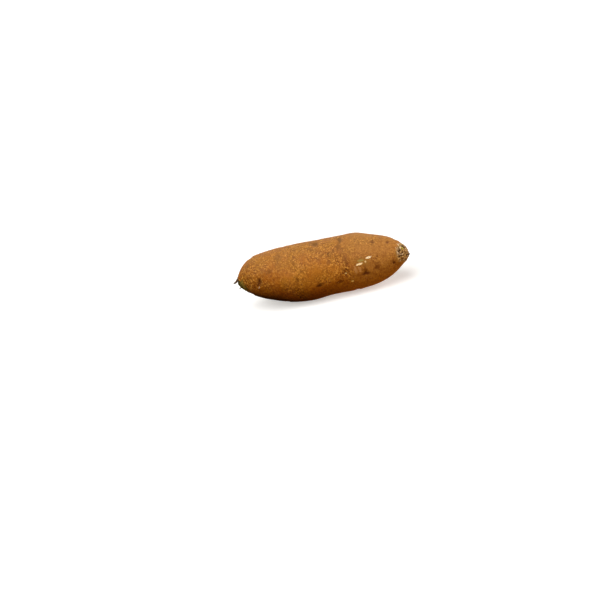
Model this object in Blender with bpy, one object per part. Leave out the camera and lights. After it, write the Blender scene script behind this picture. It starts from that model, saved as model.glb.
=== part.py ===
"""A sweet potato as picked: one storage root, lying on its side on a small flat spot.

Sizes are written in millimetres and built in metres. +X runs towards the crown, where the vine
grew, +Z is up, and -Y is the root's best side. The origin lies on the surface that the root
rests on, under the middle of its bounding box.

A place on the skin is given by two numbers: how far along the root it lies, in millimetres from
the body's middle towards the crown, and how far around it lies, in degrees from the -Y side up.
"""

import math
import random
from typing import NamedTuple

import bmesh
import bpy
import numpy as np
from mathutils import Vector, noise

MM = 0.001

# The body without its tail root, and where its middle stands in the finished frame.
HALF_LENGTH = 84.0
BODY_MIDDLE = (1.1, -1.5, 28.76)
SIDE_TO_HEIGHT = 1.06

# The grid of the bare form. Its edges are split within these reaches of an eye, a scar or a
# crease, as shares of the mark's own width, once for each number.
RING_COUNT = 52
SEGMENT_COUNT = 40
EYE_REFINE_REACH = (1.25, 0.9)
SCAR_REFINE_REACH = (1.08,)
CREASE_REFINE_REACH = (1.3, 0.75)
CREASE_REFINE_STEP = 4.0

# Gentle swellings of the flesh: each is (size of a swelling, its height).
SWELLINGS = ((34.0, 1.2), (15.0, 0.5))
SWELLING_START = Vector((4.3, 1.7, 9.2))

# Eyes are the dents that the fine side roots grew from. Those out of sight on the best side
# stand in rows along the root, each of them drawn a little off its even place.
EYE_SEED = 11
EYE_ROWS = (112.0, 158.0, 205.0, 250.0, 297.0)
EYE_ROW_ENDS = (-66.0, 70.0)
EYE_SPACING = 33.0
EYE_DRIFT_ALONG = 8.0
EYE_DRIFT_AROUND = 9.0
EYE_WIDTHS = (4.4, 7.0)
EYE_DEPTHS = (0.8, 1.3)

# The dent's length along the root as a share of its width, and the brow on its crown side: its
# height as a share of the dent's depth, its width as a share of the dent's, and its distance in
# half lengths of the dent.
EYE_NARROWNESS = 0.62
BROW_HEIGHT = 0.22
BROW_WIDTH = 1.3
BROW_DISTANCE = 1.9

# The edge of a scar wanders by waves: (share of the radius, waves around it, start).
SCAR_EDGE_WAVES = ((0.07, 3, 0.0), (0.05, 5, 1.0))
SCAR_EDGE_SOFTNESS = 0.35
SCAR_RIM_WIDTH = 1.1
SCAR_RIDGE_START = 3.0
SCAR_STUB_SHARE = 0.25

# The step used to measure the skin's slope, and where the root's tips take another axis.
SLOPE_STEP = 1e-4
TIP_START = 0.9999

WELD_DISTANCE = 0.01
CUT_TOLERANCE = 0.001
SHARP_ANGLE = math.radians(50)

SKIN_COLOR = (0.43, 0.165, 0.036, 1.0)
SKIN_ROUGHNESS = 0.62


class Station(NamedTuple):
    """One cross-section of the body, in millimetres."""

    along: float
    side: float  # of its centre, towards +Y
    rise: float  # of its centre, from the body's middle
    radius: float  # half its height or, at the two tips, the tip's own radius of curvature


STATIONS = (
    Station(-84.0, 5.0, 0.9, 7.5),
    Station(-74.0, 4.0, 3.6, 14.0),
    Station(-58.0, 2.5, 2.5, 22.4),
    Station(-36.0, 1.0, -0.6, 26.5),
    Station(-12.0, 0.0, -1.2, 27.7),
    Station(14.0, 0.0, -1.5, 27.0),
    Station(40.0, -1.5, -1.6, 25.9),
    Station(62.0, -5.5, -2.1, 19.2),
    Station(76.0, -9.5, -0.7, 11.6),
    Station(84.0, -12.0, -1.0, 6.3),
)


class Eye(NamedTuple):
    """A dent in the skin, wider around the root than along it."""

    along: float
    around: float
    width: float
    depth: float


EYES_ON_BEST_SIDE = (
    Eye(-58.9, 8.0, 6.6, 1.3),
    Eye(-47.0, 31.0, 4.4, 0.7),
    Eye(-22.5, 7.0, 4.6, 0.8),
    Eye(-3.3, -13.0, 6.2, 1.1),
    Eye(-0.7, 79.0, 7.6, 1.2),
    Eye(10.5, 46.0, 4.4, 0.8),
    Eye(16.8, -14.0, 5.2, 0.8),
    Eye(41.7, -6.0, 6.8, 1.3),
    Eye(52.7, -4.0, 5.8, 0.9),
    Eye(53.5, 65.0, 4.8, 0.9),
    Eye(66.2, 67.0, 4.8, 0.9),
    Eye(68.5, -7.0, 4.2, 0.8),
)


class Crease(NamedTuple):
    """A shallow groove that runs part of the way around the root."""

    along: float
    around: float
    half_angle: float
    width: float
    depth: float
    slant: float  # millimetres along the root for each degree around it


CREASES = (
    Crease(-38.0, 62.0, 24.0, 4.0, 0.45, 0.05),
    Crease(22.4, 70.0, 22.0, 4.0, 1.0, 0.1),
    Crease(-16.0, 142.0, 26.0, 4.4, 0.9, -0.06),
    Crease(33.0, 188.0, 30.0, 4.6, 1.0, 0.07),
    Crease(-50.0, 222.0, 26.0, 4.2, 0.9, -0.08),
)


class Scar(NamedTuple):
    """The rough patch of cork where the root broke from the plant."""

    along: float
    around: float
    radius: float
    bowl: float
    rim: float
    ridge: float
    ridge_count: int
    stub: float


CROWN_SCAR = Scar(80.6, 22.0, 9.4, 0.35, 0.4, 0.28, 6, 0.7)
TAIL_SCAR = Scar(-81.8, -35.0, 7.8, 0.3, 0.35, 0.25, 5, 0.4)


class Sprout(NamedTuple):
    """A side root broken short. Its lean is sideways for one unit of its length."""

    name: str
    along: float
    around: float
    length: float
    thickness: float  # of its foot
    end_share: float  # how thick its end is, as a share of its foot
    lean_along: float
    lean_around: float


SPROUTS = (
    Sprout("tail_root", -81.6, 42.0, 4.1, 3.0, 0.32, -0.56, -0.51),
    Sprout("tail_stub", -81.0, -38.0, 1.5, 1.3, 0.5, -0.4, -0.2),
    Sprout("front_stub", -60.2, -2.0, 1.4, 1.3, 0.5, -0.2, -0.6),
    Sprout("crown_stub", 83.2, -16.0, 1.4, 1.5, 0.5, 0.2, 0.2),
    Sprout("back_root", -31.0, 158.0, 3.8, 1.3, 0.5, 0.5, 0.5),
    Sprout("back_stub", 27.0, 205.0, 2.2, 1.4, 0.5, -0.6, -0.3),
    Sprout("low_root", -64.0, 250.0, 3.0, 1.2, 0.5, -0.7, 0.4),
    Sprout("rear_crown_root", 63.0, 158.0, 3.0, 1.2, 0.5, 0.5, 0.6),
)

# How deep a sprout's foot is sunk, and the number of its rings.
SPROUT_SUNK = 1.6
SPROUT_POINTS = 6
SPROUT_BEVEL_RESOLUTION = 1


def clear_scene():
    """Removes whatever the open file holds."""
    for leftover in list(bpy.data.objects):
        bpy.data.objects.remove(leftover, do_unlink=True)


def new_collection(name):
    """A collection of that name, linked to the scene."""
    made = bpy.data.collections.new(name)
    bpy.context.scene.collection.children.link(made)
    return made


def skin_material():
    """The copper-brown skin."""
    skin = bpy.data.materials.new("sweet_potato_skin")
    skin.use_nodes = True
    shader = skin.node_tree.nodes["Principled BSDF"]
    shader.inputs["Base Color"].default_value = SKIN_COLOR
    shader.inputs["Roughness"].default_value = SKIN_ROUGHNESS
    shader.inputs["Metallic"].default_value = 0.0
    return skin


def curve_through(knots, values, where):
    """A natural cubic spline through (knots, values), read at where."""
    knots = np.asarray(knots, float)
    values = np.asarray(values, float)
    gaps = np.diff(knots)
    slopes = np.diff(values) / gaps
    system = np.eye(len(knots))
    pull = np.zeros(len(knots))
    for i in range(1, len(knots) - 1):
        system[i, i - 1 : i + 2] = gaps[i - 1], 2 * (gaps[i - 1] + gaps[i]), gaps[i]
        pull[i] = 6 * (slopes[i] - slopes[i - 1])
    bend = np.linalg.solve(system, pull)
    left = np.clip(np.searchsorted(knots, where) - 1, 0, len(knots) - 2)
    gap = gaps[left]
    after = where - knots[left]
    before = knots[left + 1] - where
    curved = (bend[left] * before**3 + bend[left + 1] * after**3) / (6 * gap)
    from_left = (values[left] / gap - bend[left] * gap / 6) * before
    from_right = (values[left + 1] / gap - bend[left + 1] * gap / 6) * after
    return curved + from_left + from_right


def fullness():
    """Each station's radius as a share of a round-ended form, so that both tips close smoothly."""
    share = []
    for station in STATIONS:
        if abs(station.along) == HALF_LENGTH:
            share.append(math.sqrt(station.radius * HALF_LENGTH))
        else:
            share.append(station.radius / math.sqrt(1 - (station.along / HALF_LENGTH) ** 2))
    return share


def direction_to(along, around):
    """The unit direction, from the middle of a sphere, that stands for a place on the skin."""
    share = along / HALF_LENGTH
    ring = math.sqrt(max(0.0, 1 - share**2))
    angle = math.radians(around)
    return np.array([[share, -ring * math.cos(angle), ring * math.sin(angle)]])


def bare_form(directions):
    """The smooth body's points, in millimetres, for unit directions."""
    along = HALF_LENGTH * directions[:, 0]
    knots = [station.along for station in STATIONS]
    side = curve_through(knots, [station.side for station in STATIONS], along)
    rise = curve_through(knots, [station.rise for station in STATIONS], along)
    reach = curve_through(knots, fullness(), along)
    return np.column_stack(
        [
            along + BODY_MIDDLE[0],
            side + BODY_MIDDLE[1] + SIDE_TO_HEIGHT * reach * directions[:, 1],
            rise + BODY_MIDDLE[2] + reach * directions[:, 2],
        ]
    )


def unit(vectors):
    """The same vectors with a length of one."""
    return vectors / np.linalg.norm(vectors, axis=1, keepdims=True)


def skin_frame(directions):
    """The smooth body's points, and the unit vectors around it, along it and out of it there."""
    at_a_tip = np.abs(directions[:, :1]) > TIP_START
    axis = np.where(at_a_tip, [[0.0, 1.0, 0.0]], [[1.0, 0.0, 0.0]])
    around = unit(np.cross(directions, axis))
    along = np.cross(around, directions)
    points = bare_form(directions)
    across = unit(bare_form(unit(directions + SLOPE_STEP * around)) - points)
    lengthways = unit(bare_form(unit(directions + SLOPE_STEP * along)) - points)
    return points, across, lengthways, unit(np.cross(lengthways, across))


def offsets_from(points, along, around):
    """How far points lie across, lengthways and out from one place on the skin."""
    centre, across, lengthways, out = skin_frame(direction_to(along, around))
    apart = points - centre
    return apart @ across[0], apart @ lengthways[0], apart @ out[0]


def swelling_relief(points):
    """Uneven growth: broad lumps with smaller ones on them."""
    relief = np.zeros(len(points))
    for size, height in SWELLINGS:
        for i, point in enumerate(points):
            relief[i] += height * noise.noise(Vector(point) / size + SWELLING_START)
    return relief


def eye_relief(points, eye):
    """A dent with a faint brow on its crown side."""
    across, lengthways, out = offsets_from(points, eye.along, eye.around)
    across = across / (eye.width / 2)
    lengthways = lengthways / (eye.width / 2 * EYE_NARROWNESS)
    far = (out / eye.width) ** 2
    dent = np.exp(-(across**2 + lengthways**2 + far))
    brow = np.exp(-((across / BROW_WIDTH) ** 2 + (lengthways - BROW_DISTANCE) ** 2 + far))
    return eye.depth * (BROW_HEIGHT * brow - dent)


def places_along(crease, reach):
    """Places (along, around, reach) that follow a crease from end to end."""
    count = math.ceil(crease.half_angle * 2 / CREASE_REFINE_STEP)
    turns = [crease.half_angle * (2 * i / count - 1) for i in range(count + 1)]
    return [
        (crease.along + crease.slant * turn, crease.around + turn, reach * crease.width)
        for turn in turns
    ]


def crease_relief(directions, crease):
    """A groove across the root that fades out at both ends."""
    around = np.degrees(np.arctan2(directions[:, 2], -directions[:, 1]))
    turn = (around - crease.around + 180) % 360 - 180
    off_line = HALF_LENGTH * directions[:, 0] - crease.along - crease.slant * turn
    fade = np.exp(-((turn / crease.half_angle) ** 4))
    return -crease.depth * fade * np.exp(-((off_line / (crease.width / 2)) ** 2))


def scar_relief(points, scar):
    """A shallow bowl of ridged cork inside a ragged rim, with the broken stub in its middle."""
    across, lengthways, out = offsets_from(points, scar.along, scar.around)
    spread = np.sqrt(across**2 + lengthways**2 + out**2)
    turn = np.arctan2(lengthways, across)
    edge = scar.radius * np.ones(len(points))
    for share, waves, start in SCAR_EDGE_WAVES:
        edge += scar.radius * share * np.sin(waves * turn + start)
    inside = 1 / (1 + np.exp((spread - edge) / SCAR_EDGE_SOFTNESS))
    rim = np.exp(-(((spread - edge) / SCAR_RIM_WIDTH) ** 2))
    fade_in = np.minimum(spread / SCAR_RIDGE_START, 1)
    ridges = np.sin(scar.ridge_count * turn + spread) * fade_in
    stub = np.exp(-((spread / (scar.radius * SCAR_STUB_SHARE)) ** 2))
    return inside * (scar.ridge * ridges - scar.bowl) + scar.rim * rim + scar.stub * stub


def every_eye():
    """The eyes of the best side, then rows of eyes around the rest of the root."""
    draw = random.Random(EYE_SEED)
    eyes = list(EYES_ON_BEST_SIDE)
    for row, around in enumerate(EYE_ROWS):
        along = EYE_ROW_ENDS[0] + EYE_SPACING / 2 * (row % 2)
        while along < EYE_ROW_ENDS[1]:
            eyes.append(
                Eye(
                    along + draw.uniform(-EYE_DRIFT_ALONG, EYE_DRIFT_ALONG),
                    around + draw.uniform(-EYE_DRIFT_AROUND, EYE_DRIFT_AROUND),
                    draw.uniform(*EYE_WIDTHS),
                    draw.uniform(*EYE_DEPTHS),
                )
            )
            along += EYE_SPACING
    return eyes


def skin_points(directions, eyes):
    """The finished skin for unit directions, in millimetres."""
    points, _, _, out = skin_frame(directions)
    relief = swelling_relief(points)
    for eye in eyes:
        relief += eye_relief(points, eye)
    for crease in CREASES:
        relief += crease_relief(directions, crease)
    for scar in (CROWN_SCAR, TAIL_SCAR):
        relief += scar_relief(points, scar)
    return points + relief[:, None] * out


def directions_in(mesh):
    """The places of the mesh's points, as rows."""
    return np.array([vertex.co[:] for vertex in mesh.verts])


def refine(mesh, places):
    """Splits the edges near each place (along, around, reach) and keeps all points on the sphere."""
    points = bare_form(directions_in(mesh))
    near = np.zeros(len(points), bool)
    for along, around, reach in places:
        centre = bare_form(direction_to(along, around))
        near |= np.linalg.norm(points - centre, axis=1) < reach
    mesh.verts.index_update()
    edges = [e for e in mesh.edges if near[e.verts[0].index] and near[e.verts[1].index]]
    bmesh.ops.subdivide_edges(mesh, edges=edges, cuts=1, use_grid_fill=True)
    for vertex in mesh.verts:
        vertex.co.normalize()


def body_object():
    """The whole root apart from its sprouts: a sphere drawn out to the body's form."""
    mesh = bmesh.new()
    bmesh.ops.create_uvsphere(
        mesh, u_segments=SEGMENT_COUNT, v_segments=RING_COUNT, radius=1.0
    )
    for vertex in mesh.verts:
        vertex.co = Vector((vertex.co.z, -vertex.co.x, -vertex.co.y))
    eyes = every_eye()
    scars = (CROWN_SCAR, TAIL_SCAR)
    for reach in SCAR_REFINE_REACH:
        refine(mesh, [(scar.along, scar.around, reach * scar.radius) for scar in scars])
    for eye_reach, crease_reach in zip(EYE_REFINE_REACH, CREASE_REFINE_REACH):
        places = [(eye.along, eye.around, eye_reach * eye.width) for eye in eyes]
        for crease in CREASES:
            places += places_along(crease, crease_reach)
        refine(mesh, places)
    points = skin_points(directions_in(mesh), eyes)
    for vertex, point in zip(mesh.verts, points):
        vertex.co = Vector(point) * MM
    bmesh.ops.triangulate(mesh, faces=mesh.faces[:])
    bmesh.ops.recalc_face_normals(mesh, faces=mesh.faces[:])
    data = bpy.data.meshes.new("sweet_potato")
    mesh.to_mesh(data)
    mesh.free()
    return bpy.data.objects.new("sweet_potato", data)


def sprout_object(sprout):
    """A tapered curved stem, sunk into the flesh at its root, as a closed mesh."""
    base, across, lengthways, out = (
        Vector(rows[0]) for rows in skin_frame(direction_to(sprout.along, sprout.around))
    )
    lean = sprout.lean_along * lengthways + sprout.lean_around * across
    curve = bpy.data.curves.new(sprout.name, "CURVE")
    curve.dimensions = "3D"
    curve.bevel_depth = sprout.thickness / 2 * MM
    curve.bevel_resolution = SPROUT_BEVEL_RESOLUTION
    curve.use_fill_caps = True
    spline = curve.splines.new("POLY")
    spline.points.add(SPROUT_POINTS - 1)
    for i, point in enumerate(spline.points):
        share = i / (SPROUT_POINTS - 1)
        grown = share * (sprout.length + SPROUT_SUNK)
        place = base + out * (grown - SPROUT_SUNK) + lean * grown * share
        point.co = (*(place * MM), 1.0)
        point.radius = 1 - (1 - sprout.end_share) * share
    stem = bpy.data.objects.new(sprout.name, curve)
    bpy.context.scene.collection.objects.link(stem)
    graph = bpy.context.evaluated_depsgraph_get()
    data = bpy.data.meshes.new_from_object(stem.evaluated_get(graph))
    bpy.data.objects.remove(stem, do_unlink=True)
    mesh = bmesh.new()
    mesh.from_mesh(data)
    bmesh.ops.remove_doubles(mesh, verts=mesh.verts[:], dist=WELD_DISTANCE * MM)
    bmesh.ops.recalc_face_normals(mesh, faces=mesh.faces[:])
    mesh.to_mesh(data)
    mesh.free()
    return bpy.data.objects.new(sprout.name, data)


def fuse(body, sprouts):
    """Joins the collection's sprouts to the body and removes them."""
    union = body.modifiers.new("fused_sprouts", "BOOLEAN")
    union.operation = "UNION"
    union.operand_type = "COLLECTION"
    union.collection = sprouts
    graph = bpy.context.evaluated_depsgraph_get()
    body.data = bpy.data.meshes.new_from_object(body.evaluated_get(graph))
    body.modifiers.clear()
    for sprout in list(sprouts.objects):
        bpy.data.objects.remove(sprout, do_unlink=True)
    bpy.data.collections.remove(sprouts)


def flatten_rest_spot(body):
    """Takes the thin slice off the underside that gives the root its flat spot at height zero."""
    mesh = bmesh.new()
    mesh.from_mesh(body.data)
    bmesh.ops.bisect_plane(
        mesh,
        geom=mesh.verts[:] + mesh.edges[:] + mesh.faces[:],
        dist=CUT_TOLERANCE * MM,
        plane_co=(0.0, 0.0, 0.0),
        plane_no=(0.0, 0.0, 1.0),
        clear_inner=True,
    )
    open_edges = [edge for edge in mesh.edges if edge.is_boundary]
    bmesh.ops.holes_fill(mesh, edges=open_edges)
    bmesh.ops.recalc_face_normals(mesh, faces=mesh.faces[:])
    mesh.to_mesh(body.data)
    mesh.free()


def main():
    """Builds the root."""
    clear_scene()
    bpy.context.scene.unit_settings.system = "METRIC"
    root = new_collection("sweet_potato_as_picked")
    sprouts = new_collection("sprouts")
    body = body_object()
    root.objects.link(body)
    for sprout in SPROUTS:
        sprouts.objects.link(sprout_object(sprout))
    fuse(body, sprouts)
    flatten_rest_spot(body)
    body.data.name = "sweet_potato"
    body.data.materials.clear()
    body.data.materials.append(skin_material())
    body.data.shade_smooth()
    body.data.set_sharp_from_angle(angle=SHARP_ANGLE)


main()
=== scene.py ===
"""The looks of a sweet potato: its skin, cork scars and side roots, on a pale floor in soft light.

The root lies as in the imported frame: +X runs towards the crown, where the vine grew, -Y is its
best side and +Z is up. Sizes are in millimetres unless a name says otherwise, and meshes are
built in metres. A place on the skin is given by two numbers: how far along the root it lies, in
millimetres from the body's middle towards the crown, and how far around it lies, in degrees from
the -Y side up.
"""

from __future__ import annotations

import logging
import math
import random
from dataclasses import dataclass
from enum import Enum
from typing import Any, Mapping, Sequence

import bmesh
import bpy
import numpy as np
from mathutils import Matrix, Vector, noise

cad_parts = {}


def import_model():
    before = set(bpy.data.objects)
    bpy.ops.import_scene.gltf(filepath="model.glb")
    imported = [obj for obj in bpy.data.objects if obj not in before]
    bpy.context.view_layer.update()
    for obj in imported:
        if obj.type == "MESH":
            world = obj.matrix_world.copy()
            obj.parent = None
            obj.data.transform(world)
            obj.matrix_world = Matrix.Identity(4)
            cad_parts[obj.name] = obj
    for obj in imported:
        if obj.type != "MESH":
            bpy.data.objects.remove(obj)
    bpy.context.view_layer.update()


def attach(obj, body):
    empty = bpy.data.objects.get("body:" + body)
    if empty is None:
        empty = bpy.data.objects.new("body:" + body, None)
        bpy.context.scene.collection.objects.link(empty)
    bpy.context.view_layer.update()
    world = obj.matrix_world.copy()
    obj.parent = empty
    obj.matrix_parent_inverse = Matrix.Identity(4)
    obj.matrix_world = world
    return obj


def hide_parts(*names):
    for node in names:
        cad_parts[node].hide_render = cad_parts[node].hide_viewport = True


LOG = logging.getLogger("sweet_potato")

MM = 0.001
CAD_NODE = "sweet_potato"
BODY = "root"
GIRTH = "girth"
PALENESS = "paleness"

Color = tuple[float, float, float, float]
Point = tuple[float, float, float]
Pair = tuple[float, float]
Array = np.ndarray
Socket = bpy.types.NodeSocket
Material = bpy.types.Material
Piece = bpy.types.Object


def shade(red: int, green: int, blue: int) -> Color:
    """Turns a colour as seen on a screen into the light values that a shader works with.

    Args:
        red: Red from 0 to 255.
        green: Green from 0 to 255.
        blue: Blue from 0 to 255.

    Returns:
        The colour as linear red, green, blue and a full alpha.
    """
    seen = [value / 255 for value in (red, green, blue)]
    linear = [x / 12.92 if x <= 0.04045 else ((x + 0.055) / 1.055) ** 2.4 for x in seen]
    return (*linear, 1.0)


def unit(vectors: Array) -> Array:
    """Gives the same row vectors with a length of one."""
    return vectors / np.linalg.norm(vectors, axis=1, keepdims=True)


def ease(values: Array, low: float, high: float) -> Array:
    """Turns values smoothly from 0 at low to 1 at high."""
    share = np.clip((values - low) / (high - low), 0, 1)
    return share * share * (3 - 2 * share)


class Layer(str, Enum):
    """Names of the skin's painted layers, which its material reads."""

    EYE = "eye"
    CREASE = "crease"
    CROWN = "crown"
    TAIL = "tail"
    PIT = "pit"


@dataclass(frozen=True)
class Station:
    """One cross-section of the body.

    The radius is half its height or, at the two tips, the tip's own radius of curvature.
    """

    along: float
    side: float
    rise: float
    radius: float


@dataclass(frozen=True)
class Eye:
    """A dent in the skin, wider around the root than along it, and how dark it is."""

    along: float
    around: float
    width: float
    depth: float
    darkness: float = 0.6


@dataclass(frozen=True)
class Crease:
    """A shallow groove that runs part of the way around the root."""

    along: float
    around: float
    half_angle: float
    width: float
    depth: float
    slant: float


@dataclass(frozen=True)
class Scar:
    """A rough patch of cork where the root broke from the plant."""

    along: float
    around: float
    radius: float
    bowl: float
    rim: float
    ridge: float
    ridge_count: int
    stub: float
    streak: float
    streak_count: float
    swirl: float


@dataclass(frozen=True)
class Sprout:
    """A side root broken short.

    The thickness is that of its foot, and the end share is how thick its end is beside that. Its
    lean is sideways for one unit of its length.
    """

    along: float
    around: float
    length: float
    thickness: float
    end_share: float
    lean_along: float
    lean_around: float
    paleness: float


STATIONS = (
    Station(-84.0, 5.0, 0.9, 7.5),
    Station(-74.0, 4.0, 3.6, 14.0),
    Station(-58.0, 2.5, 2.5, 22.4),
    Station(-36.0, 1.0, -0.6, 26.5),
    Station(-12.0, 0.0, -1.2, 27.7),
    Station(14.0, 0.0, -1.5, 27.0),
    Station(40.0, -1.5, -1.6, 25.9),
    Station(62.0, -5.5, -2.1, 19.2),
    Station(76.0, -9.5, -0.7, 11.6),
    Station(84.0, -12.0, -1.0, 6.3),
)

EYES_ON_BEST_SIDE = (
    Eye(-58.9, 8.0, 6.6, 1.3, 0.75),
    Eye(-47.0, 31.0, 4.4, 0.7, 0.35),
    Eye(-22.5, 7.0, 4.6, 0.8, 0.5),
    Eye(-3.3, -13.0, 6.2, 1.1, 0.6),
    Eye(-0.7, 79.0, 7.6, 1.2, 0.75),
    Eye(10.5, 46.0, 4.4, 0.8, 0.65),
    Eye(16.8, -14.0, 5.2, 0.8, 0.4),
    Eye(41.7, -6.0, 6.8, 1.3, 0.8),
    Eye(52.7, -4.0, 5.8, 0.9, 0.45),
    Eye(53.5, 65.0, 4.8, 0.9, 0.7),
    Eye(66.2, 67.0, 4.8, 0.9, 0.7),
    Eye(68.5, -7.0, 4.2, 0.8, 0.6),
)

CREASES = (
    Crease(-38.0, 62.0, 24.0, 4.0, 0.45, 0.05),
    Crease(22.4, 70.0, 22.0, 4.0, 1.0, 0.1),
    Crease(-16.0, 142.0, 26.0, 4.4, 0.9, -0.06),
    Crease(33.0, 188.0, 30.0, 4.6, 1.0, 0.07),
    Crease(-50.0, 222.0, 26.0, 4.2, 0.9, -0.08),
)

CROWN_SCAR = Scar(80.6, 22.0, 9.4, 0.35, 0.4, 0.28, 6, 0.7, 0.8, 1.9, 0.16)
TAIL_SCAR = Scar(-81.8, -35.0, 7.8, 0.3, 0.35, 0.25, 5, 0.4, 0.45, 1.8, 0.1)

SPROUTS = (
    Sprout(-81.6, 42.0, 4.1, 3.5, 0.34, -0.56, -0.51, 0.0),
    Sprout(-81.0, -38.0, 1.5, 1.3, 0.5, -0.4, -0.2, 0.0),
    Sprout(-60.2, -2.0, 1.4, 1.3, 0.5, -0.2, -0.6, 1.0),
    Sprout(83.2, -16.0, 1.4, 1.5, 0.5, 0.2, 0.2, 0.0),
    Sprout(-31.0, 158.0, 3.8, 1.3, 0.5, 0.5, 0.5, 0.3),
    Sprout(27.0, 205.0, 2.2, 1.4, 0.5, -0.6, -0.3, 0.5),
    Sprout(-64.0, 250.0, 3.0, 1.2, 0.5, -0.7, 0.4, 0.2),
    Sprout(63.0, 158.0, 3.0, 1.2, 0.5, 0.5, 0.6, 0.3),
)


@dataclass(frozen=True)
class RootForm:
    """The smooth body: a spindle with round ends that bends a little towards its best side."""

    half_length: float = 84.0
    middle: Point = (1.1, -1.5, 28.76)
    side_to_height: float = 1.06
    stations: tuple[Station, ...] = STATIONS
    slope_step: float = 1e-4
    tip_start: float = 0.9999

    @staticmethod
    def curve_through(knots: Sequence[float], values: Sequence[float], where: Array) -> Array:
        """Reads a natural cubic spline.

        Args:
            knots: Where the spline's values are given.
            values: The value at each knot.
            where: The places to read it at.

        Returns:
            The spline's value at each place.
        """
        x = np.asarray(knots, float)
        y = np.asarray(values, float)
        gaps = np.diff(x)
        slopes = np.diff(y) / gaps
        system = np.eye(len(x))
        pull = np.zeros(len(x))
        for i in range(1, len(x) - 1):
            system[i, i - 1 : i + 2] = gaps[i - 1], 2 * (gaps[i - 1] + gaps[i]), gaps[i]
            pull[i] = 6 * (slopes[i] - slopes[i - 1])
        bend = np.linalg.solve(system, pull)
        left = np.clip(np.searchsorted(x, where) - 1, 0, len(x) - 2)
        gap = gaps[left]
        after = where - x[left]
        before = x[left + 1] - where
        curved = (bend[left] * before**3 + bend[left + 1] * after**3) / (6 * gap)
        from_left = (y[left] / gap - bend[left] * gap / 6) * before
        from_right = (y[left + 1] / gap - bend[left + 1] * gap / 6) * after
        return curved + from_left + from_right

    def fullness(self) -> list[float]:
        """Gives each station's radius as a share of a round-ended form, so both tips close."""
        share = []
        for station in self.stations:
            if abs(station.along) == self.half_length:
                share.append(math.sqrt(station.radius * self.half_length))
            else:
                share.append(station.radius / math.sqrt(1 - (station.along / self.half_length) ** 2))
        return share

    def direction_to(self, along: float, around: float) -> Array:
        """Gives the unit direction from a sphere's middle that stands for a place on the skin."""
        share = along / self.half_length
        ring = math.sqrt(max(0.0, 1 - share**2))
        angle = math.radians(around)
        return np.array([[share, -ring * math.cos(angle), ring * math.sin(angle)]])

    def bare(self, directions: Array) -> Array:
        """Gives the smooth body's points for unit directions."""
        along = self.half_length * directions[:, 0]
        sides = [station.side for station in self.stations]
        rises = [station.rise for station in self.stations]
        knots = [station.along for station in self.stations]
        side, rise, reach = (
            self.curve_through(knots, values, along) for values in (sides, rises, self.fullness())
        )
        side += self.side_to_height * reach * directions[:, 1]
        rise += reach * directions[:, 2]
        return np.column_stack([along, side, rise]) + self.middle

    def frame_at(self, directions: Array) -> tuple[Array, Array, Array, Array]:
        """Measures the smooth body at some places.

        Args:
            directions: Unit directions, one a row.

        Returns:
            The points there, and the unit vectors around the root, along it and out of it.
        """
        at_a_tip = np.abs(directions[:, :1]) > self.tip_start
        axis = np.where(at_a_tip, [[0.0, 1.0, 0.0]], [[1.0, 0.0, 0.0]])
        around = unit(np.cross(directions, axis))
        along = np.cross(around, directions)
        points = self.bare(directions)
        across = unit(self.bare(unit(directions + self.slope_step * around)) - points)
        lengthways = unit(self.bare(unit(directions + self.slope_step * along)) - points)
        return points, across, lengthways, unit(np.cross(lengthways, across))

    def frame_on(self, along: float, around: float) -> list[Array]:
        """Gives the same four at one place on the skin, as single vectors."""
        return [rows[0] for rows in self.frame_at(self.direction_to(along, around))]

    def offsets_from(self, points: Array, along: float, around: float) -> tuple[Array, Array, Array]:
        """Measures how far points lie across, lengthways and out from one place on the skin."""
        centre, across, lengthways, out = self.frame_on(along, around)
        apart = points - centre
        return apart @ across, apart @ lengthways, apart @ out


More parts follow.
